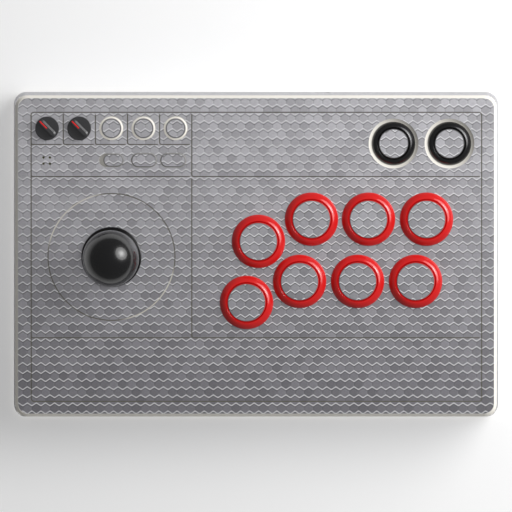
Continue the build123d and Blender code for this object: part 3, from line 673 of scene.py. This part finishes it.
class ARCADE_OT_push_buttons(bpy.types.Operator):
    """Finish the push buttons and lay a film on each plunger"""
    bl_idname = "arcade.push_buttons"
    bl_label = "Push buttons"

    def execute(self, context):
        kinds = (("button", "button_plunger", "button_housing", LARGE_BUTTONS, red_rim()),
                 ("aux_button", "aux_plunger", "aux_housing", SMALL_BUTTONS, black_gloss()))
        for body, plunger, housing, numbers, plastic in kinds:
            for number in numbers:
                dress(f"{housing}_{number}", plastic)
                dress(f"{plunger}_{number}", plastic)
                low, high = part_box(f"{plunger}_{number}")
                film_face(f"{plunger}_{number}.film", f"{plunger}_{number}", (high.x - low.x,) * 2,
                          f"{body}_{number}", sizes().face_margin)
        dress("button_microswitches", dark_plastic())
        return {"FINISHED"}


class ARCADE_OT_small_controls(bpy.types.Operator):
    """Finish the knobs, the small buttons, the slide switch and the indicator lights"""
    bl_idname = "arcade.small_controls"
    bl_label = "Small controls"

    round_face: FloatProperty(name="Round face", default=12.4 * MM, unit="LENGTH")
    round_border: FloatProperty(name="Round border", default=0.5 * MM, unit="LENGTH")
    pill_inset: FloatProperty(name="Pill inset", default=0.25 * MM, unit="LENGTH")

    def execute(self, context):
        for number in ROUND_BUTTONS:
            dress(f"round_button_{number}", shell_plastic())
            film_face(f"round_button_{number}.film", f"round_button_{number}", (self.round_face,) * 2,
                      f"function_button_{number}", 0.0, self.round_border)
        for number in PILL_BUTTONS:
            dress(f"pill_button_{number}", grey_plastic())
            film_face(f"pill_button_{number}.film", f"pill_button_{number}", PILL_FILM,
                      f"pill_{number}", self.pill_inset)
        dress("slide_switch_cap", grey_plastic())
        film_face("slide_switch_cap.film", "slide_switch_cap", SLIDE_FILM, "slide_switch",
                  self.pill_inset)
        dress("indicator_light_guide", smoked_lens())
        for knob in ("mode_knob", "link_knob"):
            dress(knob, knob_plastic())
            self.pointer(knob)
        for node in ("rotary_switches", "slide_switch_body", "tact_switches"):
            dress(node, dark_plastic())
        dress("control_board", board_mask())
        return {"FINISHED"}

    def pointer(self, knob):
        """A raised line on the grip, from the middle of the knob to its end."""
        low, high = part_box(knob)
        centre = (low + high) / 2
        out = Vector((-1, 1, 0)).normalized()
        across = Vector((1, 1, 0)).normalized() * sizes().pointer_width / 2
        start, end = out * 0.1 * MM, out * 6.4 * MM
        sunk, proud, rounding = high.z - 0.1 * MM, high.z + 0.14 * MM, 0.8

        def fill(work):
            corners = [start + across, end + across, end - across, start - across]
            middle_line = (start + end) / 2

            def outline(shrink):
                return [(centre.x + (middle_line + (c - middle_line) * shrink).x,
                         centre.y + (middle_line + (c - middle_line) * shrink).y) for c in corners]
            half_way = (sunk + proud) / 2
            stack_rings(work, [(outline(1.0), sunk), (outline(1.0), half_way), (outline(rounding), proud)])

        add_object(f"{knob}.pointer", fill, pointer_paint(), knob, smooth=False)


class ARCADE_OT_lever(bpy.types.Operator):
    """Finish the ball top, the shaft and the mechanism under it"""
    bl_idname = "arcade.lever"
    bl_label = "Lever"

    def execute(self, context):
        dress("ball_top", black_gloss())
        dress("dust_washer", black_gloss())
        dress("shaft_sleeve", dark_plastic())
        dress("lever_shaft", turned_steel())
        for node in ("mounting_plate", "plate_screws", "shaft_clip", "return_spring"):
            dress(node, zinc_steel())
        for node in ("lever_housing", "actuator", "restrictor_gate", "lever_microswitches"):
            dress(node, dark_plastic())
        for node in ("pivot_ball", "washer_glide_ring"):
            dress(node, white_plastic())
        dress("lever_switch_board", board_mask())
        return {"FINISHED"}


class ARCADE_OT_electronics(bpy.types.Operator):
    """Finish the main board, its socket and the battery"""
    bl_idname = "arcade.electronics"
    bl_label = "Electronics"

    def execute(self, context):
        dress("main_board", board_mask())
        dress("board_screws", zinc_steel())
        dress("usb_socket", zinc_steel())
        dress("battery_pack", battery_wrap())
        return {"FINISHED"}


class ARCADE_OT_stage(bpy.types.Operator):
    """Set the floor, the studio lights and the camera"""
    bl_idname = "arcade.stage"
    bl_label = "Stage"

    view_width: FloatProperty(name="View width", default=318.7 * MM, unit="LENGTH",
                              description="Width that the camera takes in at the panel's top")
    sky_share: FloatProperty(name="Sky", description="Brightness of the white surroundings", default=0.17)
    light_distance: FloatProperty(name="Light distance", default=1.6, unit="LENGTH")
    light_rise: FloatProperty(name="Light rise", default=math.radians(42), unit="ROTATION")
    light_turn: FloatProperty(name="Light turn", default=math.radians(28), unit="ROTATION")
    floor_reach: FloatProperty(name="Floor reach", default=8.0, unit="LENGTH")
    camera_tilt: FloatProperty(name="Camera tilt", default=math.radians(1.3), unit="ROTATION")
    lens: FloatProperty(name="Lens", default=1000.0, min=1.0)

    def execute(self, context):
        context.scene.view_settings.view_transform = "Standard"
        self.floor()
        self.lights()
        self.camera()
        return {"FINISHED"}

    def floor(self):
        made = Finish("floor_paper", Specular_IOR_Level=0.1)
        made.feed(Base_Color=made.blend(made.noise(8.0, 2.0), (0.93, 0.93, 0.93), (0.95, 0.95, 0.95)),
                  Roughness=0.9 + made.noise(300.0) * 0.05)
        bpy.ops.mesh.primitive_plane_add(size=2 * self.floor_reach, location=(0, 0, 0))
        floor = bpy.context.object
        floor.name = "floor"
        floor.data.materials.append(made.material)

    def light(self, name, way, share, size, shadow=True):
        """A round soft light; share is how much it adds to a white surface that lies flat."""
        data = bpy.data.lights.new(name, "AREA")
        data.shape = "DISK"
        data.energy = share * (math.pi * self.light_distance) ** 2 / way.z
        data.size = size
        data.use_shadow = shadow
        lamp = bpy.data.objects.new(name, data)
        lamp.location = way * self.light_distance + Vector((0, 0, PANEL_TOP))
        lamp.rotation_euler = way.to_track_quat("Z", "Y").to_euler()
        bpy.context.scene.collection.objects.link(lamp)

    def lights(self):
        world = bpy.data.worlds.new("studio")
        bpy.context.scene.world = world
        world.use_nodes = True
        sky = world.node_tree.nodes["Background"]
        sky.inputs["Color"].default_value = (1, 1, 1, 1)
        sky.inputs["Strength"].default_value = self.sky_share
        rise, turn = self.light_rise, self.light_turn
        way = Vector((math.cos(rise) * math.cos(turn), math.cos(rise) * math.sin(turn), math.sin(rise)))
        self.light("key", way, 0.44, 1.5)
        self.light("accent", way, 0.46, 0.5, shadow=False)

    def camera(self):
        data = bpy.data.cameras.new("camera")
        data.lens = self.lens
        distance = self.view_width * data.lens / data.sensor_width
        data.clip_start, data.clip_end = 0.1, 100.0
        camera = bpy.data.objects.new("camera", data)
        target = Vector((0.0, 0.0, PANEL_TOP))
        away = Vector((0.0, math.sin(self.camera_tilt), math.cos(self.camera_tilt)))
        camera.location = target + away * distance
        camera.rotation_euler = (-self.camera_tilt, 0.0, 0.0)
        bpy.context.scene.collection.objects.link(camera)
        bpy.context.scene.camera = camera


class ARCADE_PT_panel(bpy.types.Panel):
    """Lists the pieces in the 3D view's sidebar"""
    bl_idname = "ARCADE_PT_panel"
    bl_label = "Arcade joystick panel"
    bl_space_type = "VIEW_3D"
    bl_region_type = "UI"
    bl_category = "Arcade panel"

    def draw(self, context):
        column = self.layout.column()
        for operator in PIECES:
            column.operator(operator.bl_idname)
        for group in (context.scene.panel_sizes, context.scene.panel_colours):
            for words in group.__annotations__:
                column.prop(group, words)


PIECES = (ARCADE_OT_case, ARCADE_OT_push_buttons, ARCADE_OT_small_controls, ARCADE_OT_lever,
          ARCADE_OT_electronics, ARCADE_OT_stage)
CLASSES = (PanelSizes, PanelColours, *PIECES, ARCADE_PT_panel)


def register():
    for item in CLASSES:
        bpy.utils.register_class(item)
    bpy.types.Scene.panel_sizes = PointerProperty(type=PanelSizes)
    bpy.types.Scene.panel_colours = PointerProperty(type=PanelColours)


def unregister():
    del bpy.types.Scene.panel_colours
    del bpy.types.Scene.panel_sizes
    for item in reversed(CLASSES):
        bpy.utils.unregister_class(item)


def main():
    register()
    bpy.ops.arcade.case()
    bpy.ops.arcade.push_buttons()
    bpy.ops.arcade.small_controls()
    bpy.ops.arcade.lever()
    bpy.ops.arcade.electronics()
    bpy.ops.arcade.stage()


if __name__ == "__main__":
    main()
